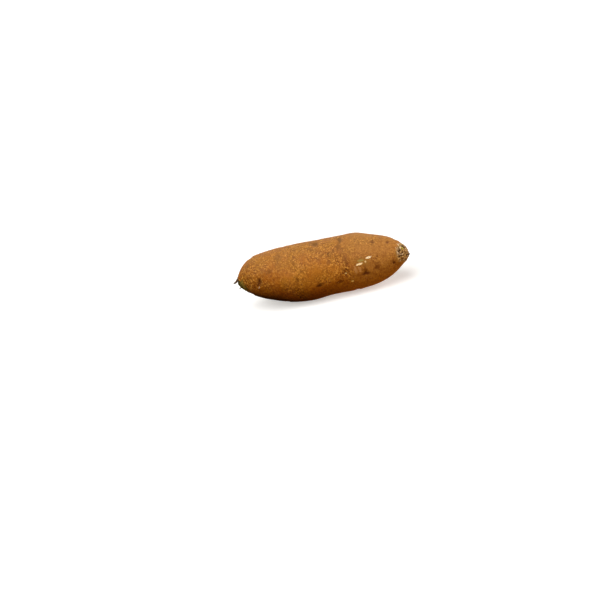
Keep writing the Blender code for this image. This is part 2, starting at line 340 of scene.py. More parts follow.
@dataclass(frozen=True)
class Relief:
    """Everything that stands out of the smooth body or is sunk into it, and how it is painted."""

    form: RootForm
    swellings: tuple[Pair, ...] = ((34.0, 1.2), (15.0, 0.5))
    swelling_start: Point = (4.3, 1.7, 9.2)
    eye_seed: int = 11
    eye_rows: tuple[float, ...] = (112.0, 158.0, 205.0, 250.0, 297.0)
    eye_row_ends: Pair = (-66.0, 70.0)
    eye_spacing: float = 33.0
    eye_drift: Pair = (8.0, 9.0)
    eye_widths: Pair = (4.4, 7.0)
    eye_depths: Pair = (0.8, 1.3)
    eye_narrowness: float = 0.62
    brow_height: float = 0.22
    brow_width: float = 1.3
    brow_distance: float = 1.9
    edge_waves: tuple[tuple[float, int, float], ...] = ((0.07, 3, 0.0), (0.05, 5, 1.0))
    edge_softness: float = 0.35
    steepest_edge: float = 60.0
    rim_width: float = 1.1
    ridge_start: float = 3.0
    stub_share: float = 0.25
    streak_reach: float = 1.3
    streak_length: float = 3.4
    fine_streak_count: float = 2.3
    fine_streak_share: float = 0.6
    pit_depths: Pair = (0.02, 0.32)
    raggedness: tuple[Pair, ...] = ((3.4, 0.8), (1.5, 0.35))
    ragged_seed: int = 7

    def every_eye(self) -> list[Eye]:
        """Gives the eyes of the best side, then rows of eyes around the rest of the root."""
        draw = random.Random(self.eye_seed)
        eyes = list(EYES_ON_BEST_SIDE)
        for row, around in enumerate(self.eye_rows):
            along = self.eye_row_ends[0] + self.eye_spacing / 2 * (row % 2)
            while along < self.eye_row_ends[1]:
                place = [
                    middle + draw.uniform(-drift, drift)
                    for middle, drift in zip((along, around), self.eye_drift)
                ]
                eyes.append(Eye(*place, draw.uniform(*self.eye_widths), draw.uniform(*self.eye_depths)))
                along += self.eye_spacing
        return eyes

    def swelling(self, points: Array) -> Array:
        """Gives the height of uneven growth: broad lumps with smaller ones on them."""
        relief = np.zeros(len(points))
        for size, height in self.swellings:
            for i, point in enumerate(points):
                relief[i] += height * noise.noise(Vector(point) / size + Vector(self.swelling_start))
        return relief

    def eye_shape(self, points: Array, eye: Eye) -> tuple[Array, Array]:
        """Gives an eye's dent, from 0 to 1, and the faint brow on its crown side."""
        across, lengthways, out = self.form.offsets_from(points, eye.along, eye.around)
        across = across / (eye.width / 2)
        lengthways = lengthways / (eye.width / 2 * self.eye_narrowness)
        far = (out / eye.width) ** 2
        dent = np.exp(-(across**2 + lengthways**2 + far))
        ahead = (lengthways - self.brow_distance) ** 2
        return dent, np.exp(-((across / self.brow_width) ** 2 + ahead + far))

    def crease_shape(self, directions: Array, crease: Crease) -> Array:
        """Gives a crease's groove, from 0 to 1, fading out at both ends."""
        around = np.degrees(np.arctan2(directions[:, 2], -directions[:, 1]))
        turn = (around - crease.around + 180) % 360 - 180
        off_line = self.form.half_length * directions[:, 0] - crease.along - crease.slant * turn
        fade = np.exp(-((turn / crease.half_angle) ** 4))
        return fade * np.exp(-((off_line / (crease.width / 2)) ** 2))

    def scar_shape(self, points: Array, scar: Scar) -> tuple[Array, Array, Array]:
        """Works out a scar.

        Args:
            points: The smooth body's points.
            scar: The scar.

        Returns:
            The relief of its bowl, rim, ridges and streaks, how far inside it each point is,
            from 0 to 1, and the pits between the streaks, from 0 to 1.
        """
        across, lengthways, out = self.form.offsets_from(points, scar.along, scar.around)
        spread = np.sqrt(across**2 + lengthways**2 + out**2)
        turn = np.arctan2(lengthways, across)
        edge = scar.radius * np.ones(len(points))
        for share, waves, start in self.edge_waves:
            edge += scar.radius * share * np.sin(waves * turn + start)
        past = (spread - edge) / self.edge_softness
        inside = 1 / (1 + np.exp(np.clip(past, -self.steepest_edge, self.steepest_edge)))
        rim = np.exp(-(((spread - edge) / self.rim_width) ** 2))
        fade_in = np.minimum(spread / self.ridge_start, 1)
        ridges = np.sin(scar.ridge_count * turn + spread) * fade_in
        stub = np.exp(-((spread / (scar.radius * self.stub_share)) ** 2))
        streaks = np.zeros(len(points))
        for i in np.flatnonzero(spread < self.streak_reach * scar.radius):
            twist = turn[i] + scar.swirl * spread[i]
            place = Vector((math.cos(twist), math.sin(twist), 0.0)) * scar.streak_count
            place.z = spread[i] / self.streak_length + scar.along
            fine = noise.noise(place * self.fine_streak_count)
            streaks[i] = noise.noise(place) + self.fine_streak_share * fine
        relief = inside * (scar.ridge * ridges - scar.bowl + scar.streak * streaks)
        relief += scar.rim * rim + scar.stub * stub
        return relief, inside, inside * ease(-streaks, *self.pit_depths)

    def ragged(self, points: Array) -> Array:
        """Shifts points a little and unevenly, so that marks placed by them get ragged edges."""
        noise.seed_set(self.ragged_seed)
        shifted = points.copy()
        for size, reach in self.raggedness:
            for i, point in enumerate(points):
                shifted[i] += reach * np.array(noise.noise_vector(Vector(point) / size))
        return shifted

    def skin(self, directions: Array) -> tuple[Array, dict[Layer, Array]]:
        """Works out the finished skin.

        Args:
            directions: Unit directions, one a row.

        Returns:
            The skin's points, and the value of every painted layer at each of them.
        """
        points, _, _, out = self.form.frame_at(directions)
        relief = self.swelling(points)
        marked = self.ragged(points)
        layers = {layer: np.zeros(len(points)) for layer in Layer}
        for eye in self.every_eye():
            dent, brow = self.eye_shape(marked, eye)
            relief += eye.depth * (self.brow_height * brow - dent)
            layers[Layer.EYE] = np.maximum(layers[Layer.EYE], eye.darkness * dent)
        for crease in CREASES:
            groove = self.crease_shape(directions, crease)
            relief -= crease.depth * groove
            layers[Layer.CREASE] = np.maximum(layers[Layer.CREASE], groove)
        for scar, layer in ((CROWN_SCAR, Layer.CROWN), (TAIL_SCAR, Layer.TAIL)):
            raised, inside, pits = self.scar_shape(points, scar)
            relief += raised
            layers[layer] = inside
            layers[Layer.PIT] = np.maximum(layers[Layer.PIT], pits)
        return points + relief[:, None] * out, layers


@dataclass(frozen=True)
class Grain:
    """Noise whose lumps have one size, and the values between which it fades in up to its top."""

    size: float
    detail: float
    roughness: float
    low: float = 0.0
    high: float = 1.0
    top: float = 1.0
    stretch: Point | None = None


class Bench:
    """Places and joins the nodes of one tree."""

    def __init__(self, tree: bpy.types.NodeTree) -> None:
        """Starts work on a tree."""
        self.tree = tree

    def feed(self, node: bpy.types.Node, inputs: Mapping[Any, Any]) -> None:
        """Gives a node's inputs, by name or number, their values or the sockets that feed them."""
        for key, value in inputs.items():
            if isinstance(value, Socket):
                self.tree.links.new(value, node.inputs[key])
            else:
                node.inputs[key].default_value = value

    def put(self, kind: str, inputs: Mapping[Any, Any] | None = None, **settings: Any) -> Any:
        """Adds a node.

        Args:
            kind: The node's type name.
            inputs: Values or sockets for its inputs, by name or number.
            **settings: The node's own settings.

        Returns:
            The node's outputs.
        """
        node = self.tree.nodes.new(kind)
        for name, value in settings.items():
            setattr(node, name, value)
        self.feed(node, inputs or {})
        return node.outputs

    def get(self, kind: str, inputs: Mapping[Any, Any] | None = None, **settings: Any) -> Socket:
        """Adds a node in the same way and gives its first output."""
        return self.put(kind, inputs, **settings)[0]

    def math(self, operation: str, *values: Any) -> Socket:
        """Gives the result of a step, such as a difference, on some values."""
        return self.get("ShaderNodeMath", dict(enumerate(values)), operation=operation)

    def plus(self, first: Any, second: Any) -> Socket:
        """Gives the sum of two values."""
        return self.math("ADD", first, second)

    def times(self, first: Any, second: Any) -> Socket:
        """Gives the product of two values."""
        return self.math("MULTIPLY", first, second)

    def split(self, place: Socket) -> Any:
        """Gives the three numbers of a place."""
        return self.put("ShaderNodeSeparateXYZ", {0: place})

    def stretched(self, place: Socket, scale: Point) -> Socket:
        """Gives the place with each of its directions scaled."""
        return self.get("ShaderNodeVectorMath", {0: place, 1: scale}, operation="MULTIPLY")

    def noise(self, place: Socket, grain: Grain) -> Socket:
        """Gives a grain's noise, which is about 0.5 on average."""
        if grain.stretch:
            place = self.stretched(place, grain.stretch)
        values = {"Vector": place, "Scale": 1 / (grain.size * MM), "Detail": grain.detail}
        return self.get("ShaderNodeTexNoise", {**values, "Roughness": grain.roughness})

    def swing(self, noisy: Socket) -> Socket:
        """Gives noise that swings from about -1 to 1 instead of from 0 to 1."""
        return self.math("MULTIPLY_ADD", noisy, 2.0, -1.0)

    def ease(self, value: Socket, low: float, high: float, top: float = 1.0) -> Socket:
        """Gives a value that turns smoothly from 0 at low to top at high."""
        values = {"Value": value, "From Min": low, "From Max": high, "To Max": top}
        return self.get("ShaderNodeMapRange", values, interpolation_type="SMOOTHSTEP")

    def reach(self, value: Socket, ends: Pair, top: float = 1.0) -> Socket:
        """Gives a value that turns smoothly from 0 at one end, in millimetres, to top at the other."""
        return self.ease(value, ends[0] * MM, ends[1] * MM, top)

    def faded(self, value: Socket, grain: Grain) -> Socket:
        """Gives a value faded in as a grain is."""
        return self.ease(value, grain.low, grain.high, grain.top)

    def spread(self, place: Socket, grain: Grain) -> Socket:
        """Gives how strongly a grain shows at a place."""
        return self.faded(self.noise(place, grain), grain)

    def blend(self, share: Socket, first: Any, second: Any) -> Socket:
        """Gives a number between two others, by the share of the second."""
        return self.get("ShaderNodeMix", {0: share, 2: first, 3: second})

    def mix(self, share: Socket, first: Any, second: Any, way: str = "MIX") -> Socket:
        """Gives two colours mixed.

        Args:
            share: How much of the second colour there is, from 0 to 1.
            first: The first colour.
            second: The second colour.
            way: The way to mix them, by its node name.

        Returns:
            The mixed colour.
        """
        values = {0: share, 6: first, 7: second}
        return self.put("ShaderNodeMix", values, data_type="RGBA", blend_type=way)[2]


class Coat(Bench):
    """The nodes of one material, around its Principled shader."""

    def __init__(self, name: str) -> None:
        """Starts a material of that name."""
        self.made = bpy.data.materials.new(name)
        self.made.use_nodes = True
        super().__init__(self.made.node_tree)
        self.place = self.put("ShaderNodeTexCoord")["Object"]

    def strength(self, grain: Grain) -> Socket:
        """Gives how strongly a grain shows on the piece."""
        return self.spread(self.place, grain)

    def painted(self, layer: str) -> Socket:
        """Gives one of the piece's painted layers."""
        return self.put("ShaderNodeAttribute", attribute_name=layer)["Fac"]

    def bump(self, height: Socket, distance: float, strength: float) -> Socket:
        """Gives the normal over small bumps of that many millimetres."""
        values = {"Height": height, "Distance": distance * MM, "Strength": strength}
        return self.get("ShaderNodeBump", values)

    def material(self, inputs: Mapping[str, Any]) -> Material:
        """Feeds the shader and gives the finished material."""
        self.feed(self.tree.nodes["Principled BSDF"], inputs)
        return self.made


@dataclass(frozen=True)
class SkinPattern:
    """Where the skin's corky flecks and its pores lie, for its relief and its colour alike."""

    patches: Grain = Grain(15.0, 3.0, 0.6, 0.34, 0.56, 0.8)
    least_crowd: float = 0.2
    smooth_end: Pair = (16.0, 46.0)
    end_calm: float = 0.15
    smooth_flank: Pair = (30.0, 16.0)
    flank_calm: float = 0.2
    fleck: Grain = Grain(1.9, 4.0, 0.8, 0.55, 0.66)
    pore: Grain = Grain(2.1, 4.0, 0.8, 0.43, 0.33, 1.0, (1.2, 0.85, 0.85))

    def crowd(self, bench: Bench, place: Socket) -> Socket:
        """Gives how crowded the marks are: 1 in rough patches, less in smooth ones."""
        ahead, _, height = bench.split(place)
        end = bench.reach(ahead, self.smooth_end, self.end_calm)
        calm = bench.plus(end, bench.reach(height, self.smooth_flank, self.flank_calm))
        rough = bench.math("SUBTRACT", bench.noise(place, self.patches), calm)
        return bench.plus(bench.faded(rough, self.patches), self.least_crowd)

    def marks(self, bench: Bench, place: Socket) -> tuple[Socket, Socket, Socket]:
        """Lays out the marks.

        Args:
            bench: The bench of the tree that needs them.
            place: The place on the skin.

        Returns:
            How crowded the marks are there, how much of a corky fleck there is, and how much of
            a dark pore.
        """
        crowd = self.crowd(bench, place)
        flecks = bench.times(bench.spread(place, self.fleck), crowd)
        return crowd, flecks, bench.times(bench.spread(place, self.pore), crowd)


@dataclass(frozen=True)
class Stain:
    """A small patch of another colour on the skin, tilted by some degrees."""

    along: float
    around: float
    length: float
    width: float
    tilt: float
    color: Color
    strength: float
    raggedness: float = 0.7


STAINS = (
    Stain(-12.0, 10.0, 62.0, 26.0, 0.0, shade(222, 148, 54), 0.24, 0.9),
    Stain(-77.6, -12.0, 7.0, 13.0, 0.0, shade(138, 116, 48), 0.85, 1.2),
    Stain(-74.5, -24.0, 4.0, 9.0, 0.0, shade(112, 94, 42), 0.7, 1.3),
    Stain(73.0, 8.0, 4.0, 14.0, 0.0, shade(168, 116, 48), 0.7, 1.2),
    Stain(32.6, 3.0, 3.0, 8.5, 0.0, shade(206, 150, 96), 0.5, 1.5),
    Stain(36.6, 3.5, 2.4, 6.5, 8.0, shade(212, 156, 104), 0.45, 1.5),
    Stain(41.0, 18.0, 13.0, 7.0, -20.0, shade(150, 104, 40), 0.55, 1.3),
    Stain(39.2, 20.6, 5.6, 2.1, 0.0, shade(158, 136, 70), 0.9, 0.9),
    Stain(37.0, 13.7, 6.6, 2.1, 8.0, shade(255, 226, 176), 1.0, 0.9),
    Stain(43.2, 17.2, 1.9, 1.7, 20.0, shade(232, 200, 140), 0.9),
    Stain(46.8, 25.0, 5.2, 1.9, 12.0, shade(255, 232, 188), 1.0, 0.9),
    Stain(23.1, 1.0, 1.9, 1.5, 0.0, shade(244, 204, 140), 1.0),
    Stain(27.1, -20.5, 4.4, 3.4, 0.0, shade(150, 104, 40), 0.6, 1.4),
    Stain(27.1, -20.5, 2.4, 1.9, 0.0, shade(244, 204, 146), 1.0),
    Stain(23.0, 78.0, 4.0, 8.0, 10.0, shade(84, 42, 8), 0.85, 1.4),
    Stain(21.0, 62.0, 3.0, 7.0, -8.0, shade(104, 56, 14), 0.6, 1.6),
    Stain(-1.5, 82.0, 9.0, 7.0, -20.0, shade(92, 48, 10), 0.7, 1.6),
    Stain(-4.0, 64.0, 12.0, 3.0, -25.0, shade(100, 52, 12), 0.55, 1.6),
    Stain(-37.0, 64.0, 7.0, 9.0, 30.0, shade(108, 60, 16), 0.45, 1.9),
    Stain(10.0, 30.0, 5.0, 4.0, 0.0, shade(112, 60, 14), 0.5, 1.5),
    Stain(16.0, -15.0, 8.0, 2.6, 10.0, shade(104, 48, 10), 0.6, 1.4),
    Stain(41.5, -1.5, 5.0, 3.4, 0.0, shade(152, 92, 24), 0.6, 1.2),
    Stain(41.5, -9.5, 8.4, 2.8, 4.0, shade(88, 38, 6), 0.8, 1.6),
    Stain(53.5, 66.0, 3.6, 3.0, 0.0, shade(110, 58, 22), 0.75, 1.3),
    Stain(66.2, 68.0, 3.0, 3.0, 0.0, shade(106, 54, 22), 0.75, 1.3),
    Stain(68.8, -6.0, 2.8, 2.6, 0.0, shade(96, 44, 8), 0.75, 1.3),
    Stain(-4.5, -13.0, 5.6, 2.2, -10.0, shade(84, 36, 4), 0.75, 1.2),
    Stain(-58.9, 9.0, 5.0, 6.6, 0.0, shade(96, 44, 6), 0.5, 1.8),
    Stain(-68.7, 62.0, 4.0, 7.0, 0.0, shade(104, 62, 20), 0.55, 1.6),
    Stain(-47.8, 33.0, 6.0, 4.0, 30.0, shade(110, 62, 14), 0.4, 1.9),
    Stain(15.8, 51.0, 4.0, 4.0, 0.0, shade(108, 60, 16), 0.5, 1.6),
    Stain(58.7, 51.0, 2.6, 2.4, 0.0, shade(116, 62, 20), 0.6, 1.4),
    Stain(25.0, 28.0, 3.6, 16.0, 0.0, shade(120, 68, 20), 0.4, 1.6),
    Stain(52.7, 0.0, 6.0, 4.0, 0.0, shade(112, 56, 12), 0.6, 1.8),
)


@dataclass(frozen=True)
class SkinFinish:
    """Matte copper skin: mottled, flecked with gold, dark in its eyes and creases."""

    form: RootForm
    pattern: SkinPattern
    copper: Color = shade(166, 92, 12)
    ochre: Color = shade(165, 99, 12)
    ochre_patches: Grain = Grain(17.0, 3.0, 0.55, 0.40, 0.62)
    rose: Color = shade(175, 96, 35)
    rose_patches: Grain = Grain(17.0, 2.0, 0.5, 0.52, 0.68, 0.6, (0.8, 1.2, 1.2))
    tan: Color = shade(170, 112, 50)
    tan_reach: Pair = (8.0, 52.0)
    tan_share: float = 0.9
    dusk: Color = shade(128, 66, 8)
    mottling: Grain = Grain(4.2, 4.0, 0.65, 0.55, 0.30, 0.55)
    lines: Grain = Grain(3.0, 4.0, 0.65, 0.52, 0.33, 0.5, (3.2, 0.5, 0.5))
    fleck: Color = shade(232, 163, 72)
    pore: Color = shade(88, 40, 3)
    dark_grain: Grain = Grain(1.7, 5.0, 0.85, 0.50, 0.405, 0.95)
    light_grain: Grain = Grain(1.7, 5.0, 0.85, 0.515, 0.605)
    grain_by_crowd: float = 0.9
    least_grain: float = 0.12
    pore_share: float = 0.85
    gold_patches: Grain = Grain(4.2, 2.0, 0.5, 0.40, 0.64, 0.75)
    least_gold: float = 0.25
    # Painted sheen: a paler tan mixed into the upper skin, standing in for light glancing off its top.
    painted_sheen: Color = shade(176, 128, 70)
    painted_sheen_heights: Pair = (34.0, 56.0)
    painted_sheen_share: float = 0.36
    # Painted shade: the low flank of the shown side is multiplied deeper and warmer, and darker still
    # towards the tail, standing in for shade and warm bounce light from below.
    painted_shade_heights: Pair = (42.0, 8.0)
    painted_tail_shade_reach: Pair = (35.0, -35.0)
    painted_shade_depths: Pair = (16.0, -6.0)
    painted_low_shade: Color = (1.0, 0.95, 0.44, 1.0)
    # Painted shade: a darker multiply low at the tail end of the shown side, standing in for a contact
    # shadow.
    painted_tail_shade: Color = (0.9, 0.7, 0.5, 1.0)
    eye: Color = shade(78, 34, 4)
    eye_grain: Grain = Grain(1.5, 2.0, 0.6, 0.34, 0.62, 1.7)
    eye_share: float = 0.92
    crease: Color = shade(112, 64, 18)
    crease_grain: Grain = Grain(1.5, 2.0, 0.6, 0.3, 0.6, 0.7)
    cork: Color = shade(206, 160, 104)
    cork_dark: Color = shade(118, 76, 26)
    cork_grain: Grain = Grain(1.8, 2.0, 0.6, 0.40, 0.62)
    cork_pit: Color = shade(70, 42, 12)
    cork_pit_share: float = 0.95
    green: Color = shade(176, 168, 40)
    green_at: Pair = (77.6, 64.0)
    green_reach: Pair = (5.6, 5.6 / 3)
    green_share: float = 0.8
    tail_cork: Color = shade(160, 144, 66)
    tail_grain: Grain = Grain(1.8, 2.0, 0.6, 0.36, 0.54)
    tail_pit: Color = shade(66, 54, 18)
    tail_pit_share: float = 0.9
    stain_depth: float = 4.0
    stain_depth_by_width: float = 0.25
    stain_edge: Grain = Grain(1.6, 3.0, 0.7, 1.15, 0.75)
    least_roughness: float = 0.54
    dull_patches: Grain = Grain(4.2, 3.0, 0.5, 0.3, 0.7, 0.16)
    specular: float = 0.11
    bump_grain: Grain = Grain(1.7, 4.0, 0.65)
    bump_height: float = 0.2
    bump_strength: float = 0.9

    def base(self, coat: Coat) -> Socket:
        """Gives the clean skin's colour: copper with ochre and rose patches, tan at the crown.

        Dusky mottling and fine dusky lines around the root lie over all of it.
        """
        skin = coat.mix(coat.strength(self.ochre_patches), self.copper, self.ochre)
        skin = coat.mix(coat.strength(self.rose_patches), skin, self.rose)
        along = coat.split(coat.place)[0]
        skin = coat.mix(coat.reach(along, self.tan_reach, self.tan_share), skin, self.tan)
        for grain in (self.mottling, self.lines):
            skin = coat.mix(coat.strength(grain), skin, self.dusk)
        return skin

    def speckled(
        self, coat: Coat, skin: Socket, crowd: Socket, flecks: Socket, pores: Socket
    ) -> Socket:
        """Gives the skin's colour with a fine grain, golden flecks and dark pores."""
        often = coat.plus(coat.times(crowd, self.grain_by_crowd), self.least_grain)
        for grain, color in ((self.dark_grain, self.pore), (self.light_grain, self.fleck)):
            skin = coat.mix(coat.times(coat.strength(grain), often), skin, color)
        skin = coat.mix(coat.times(pores, self.pore_share), skin, self.pore)
        gold = coat.plus(coat.strength(self.gold_patches), self.least_gold)
        return coat.mix(coat.times(flecks, gold), skin, self.fleck)

    def dented(self, coat: Coat, skin: Socket) -> Socket:
        """Gives the skin's colour with dark eyes and creases."""
        eye = coat.times(coat.painted(Layer.EYE), coat.strength(self.eye_grain))
        skin = coat.mix(coat.math("MINIMUM", eye, self.eye_share), skin, self.eye)
        crease = coat.times(coat.painted(Layer.CREASE), coat.strength(self.crease_grain))
        return coat.mix(crease, skin, self.crease)

    def stained(self, coat: Coat, skin: Socket, stain: Stain, ragged: Socket) -> Socket:
        """Gives the skin's colour with a stain whose edge follows ragged noise around 0."""
        centre, across, lengthways, out = self.form.frame_on(stain.along, stain.around)
        tilt = math.radians(stain.tilt)
        long_way = math.cos(tilt) * lengthways + math.sin(tilt) * across
        turn = Matrix((long_way, np.cross(out, long_way), out)).transposed().to_euler()
        depth = self.stain_depth + self.stain_depth_by_width * stain.width
        values = {
            "Vector": coat.place,
            "Location": Vector(centre) * MM,
            "Rotation": turn,
            "Scale": Vector((stain.length / 2, stain.width / 2, depth)) * MM,
        }
        local = coat.get("ShaderNodeMapping", values, vector_type="TEXTURE")
        far = coat.put("ShaderNodeVectorMath", {0: local}, operation="LENGTH")["Value"]
        edge = coat.plus(far, coat.times(ragged, stain.raggedness))
        share = coat.ease(edge, self.stain_edge.low, self.stain_edge.high, stain.strength)
        return coat.mix(share, skin, stain.color)

    def corky(self, coat: Coat, skin: Socket) -> Socket:
        """Gives the skin's colour with both scars: pale streaky cork over dark pits."""
        pit = coat.painted(Layer.PIT)
        crown = coat.mix(coat.strength(self.cork_grain), self.cork_dark, self.cork)
        middle = self.form.frame_on(*self.green_at)[0] * MM
        far = coat.put("ShaderNodeVectorMath", {0: coat.place, 1: middle}, operation="DISTANCE")
        green = coat.reach(far["Value"], self.green_reach, self.green_share)
        crown = coat.mix(green, crown, self.green)
        crown = coat.mix(coat.times(pit, self.cork_pit_share), crown, self.cork_pit)
        tail = coat.mix(coat.strength(self.tail_grain), self.tail_pit, self.tail_cork)
        tail = coat.mix(coat.times(pit, self.tail_pit_share), tail, self.tail_pit)
        skin = coat.mix(coat.painted(Layer.CROWN), skin, crown)
        return coat.mix(coat.painted(Layer.TAIL), skin, tail)

    def shaded(self, coat: Coat, skin: Socket) -> Socket:
        """Gives the skin's colour a painted sheen on top and painted shade low on its shown side."""
        along, depth, height = coat.split(coat.place)
        # Painted sheen: the skin is painted paler towards the top.
        high = coat.reach(height, self.painted_sheen_heights, self.painted_sheen_share)
        skin = coat.mix(high, skin, self.painted_sheen)
        # Painted shade: the colour is multiplied deeper low on the side that is shown.
        low = coat.times(coat.reach(height, self.painted_shade_heights), coat.reach(depth, self.painted_shade_depths))
        skin = coat.mix(low, skin, self.painted_low_shade, "MULTIPLY")
        # Painted shade: darker still low towards the tail.
        tail_shade_share = coat.times(low, coat.reach(along, self.painted_tail_shade_reach))
        return coat.mix(tail_shade_share, skin, self.painted_tail_shade, "MULTIPLY")

    def material(self) -> Material:
        """Makes the skin's material."""
        coat = Coat("copper_skin")
        crowd, flecks, pores = self.pattern.marks(coat, coat.place)
        skin = self.speckled(coat, self.base(coat), crowd, flecks, pores)
        skin = self.dented(coat, skin)
        ragged = coat.swing(coat.noise(coat.place, self.stain_edge))
        for stain in STAINS:
            skin = self.stained(coat, skin, stain, ragged)
        marks = coat.math("SUBTRACT", flecks, pores)
        height = coat.plus(coat.noise(coat.place, self.bump_grain), marks)
        return coat.material(
            {
                "Base Color": self.shaded(coat, self.corky(coat, skin)),
                "Roughness": coat.plus(coat.strength(self.dull_patches), self.least_roughness),
                "Specular IOR Level": self.specular,
                "Normal": coat.bump(height, self.bump_height, self.bump_strength),
            }
        )


@dataclass(frozen=True)
class StrandFinish:
    """Dry fibre or root bark: one colour along most of it, another towards its end."""

    name: str
    foot: Color
    end: Color
    dark: Color
    roughness: float = 0.8
    specular: float = 0.25
    grain: Grain = Grain(1.3, 3.0, 0.7, 0.58, 0.34, 0.7)
    bump_height: float = 0.08
    bump_strength: float = 0.7

    def material(self) -> Material:
        """Makes the strand's material."""
        coat = Coat(self.name)
        grain = coat.noise(coat.place, self.grain)
        color = coat.mix(coat.painted(PALENESS), self.foot, self.end)
        return coat.material(
            {
                "Base Color": coat.mix(coat.faded(grain, self.grain), color, self.dark),
                "Roughness": self.roughness,
                "Specular IOR Level": self.specular,
                "Normal": coat.bump(grain, self.bump_height, self.bump_strength),
            }
        )


class Recipe(Bench):
    """A geometry tree with named inputs, which ends by realizing and dressing what it made."""

    def __init__(self, name: str, inputs: Mapping[str, float]) -> None:
        """Starts a tree.

        Args:
            name: The tree's name.
            inputs: Each number that it is given, by name, with its usual value.
        """
        super().__init__(bpy.data.node_groups.new(name, "GeometryNodeTree"))
        face = self.tree.interface
        face.new_socket("Geometry", in_out="INPUT", socket_type="NodeSocketGeometry")
        for label, value in inputs.items():
            kind = "NodeSocketInt" if isinstance(value, int) else "NodeSocketFloat"
            face.new_socket(label, in_out="INPUT", socket_type=kind).default_value = value
        face.new_socket("Material", in_out="INPUT", socket_type="NodeSocketMaterial")
        face.new_socket("Geometry", in_out="OUTPUT", socket_type="NodeSocketGeometry")
        self.given = self.put("NodeGroupInput")

    def named(self, attribute: str) -> Socket:
        """Gives a number that the geometry holds at each point."""
        return self.get("GeometryNodeInputNamedAttribute", {"Name": attribute}, data_type="FLOAT")

    def end(self, geometry: Socket) -> Recipe:
        """Realizes the geometry, gives it its material and ends the tree."""
        real = self.get("GeometryNodeRealizeInstances", {0: geometry})
        smooth = self.get("GeometryNodeSetShadeSmooth", {0: real})
        values = {"Geometry": smooth, "Material": self.given["Material"]}
        self.put("NodeGroupOutput", {0: self.get("GeometryNodeSetMaterial", values)})
        return self

    def bake(self, source: Piece, name: str, values: Mapping[str, Any]) -> Piece:
        """Runs the tree on an object and keeps the result as a plain mesh.

        Args:
            source: The object that the tree reads, which is removed.
            name: The new piece's name.
            values: The value of each named input.

        Returns:
            The new piece.
        """
        modifier = source.modifiers.new(self.tree.name, "NODES")
        modifier.node_group = self.tree
        for item in self.tree.interface.items_tree:
            if item.in_out == "INPUT" and item.name in values:
                modifier[item.identifier] = values[item.name]
        graph = bpy.context.evaluated_depsgraph_get()
        mesh = bpy.data.meshes.new_from_object(
            source.evaluated_get(graph), preserve_all_data_layers=True, depsgraph=graph
        )
        mesh.name = name
        bpy.data.objects.remove(source, do_unlink=True)
        return shown(name, mesh)


def shown(name: str, data: bpy.types.ID) -> Piece:
    """Puts a mesh, a light or a camera in the scene as an object of that name."""
    made = bpy.data.objects.new(name, data)
    bpy.context.scene.collection.objects.link(made)
    return made


def dress(piece: Piece, *nodes: str) -> Piece:
    """Makes a piece ride on the root and stand for CAD nodes, which it hides."""
    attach(piece, BODY)
    if nodes:
        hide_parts(*nodes)
    LOG.info("%s: %d faces", piece.name, len(piece.data.polygons))
    return piece


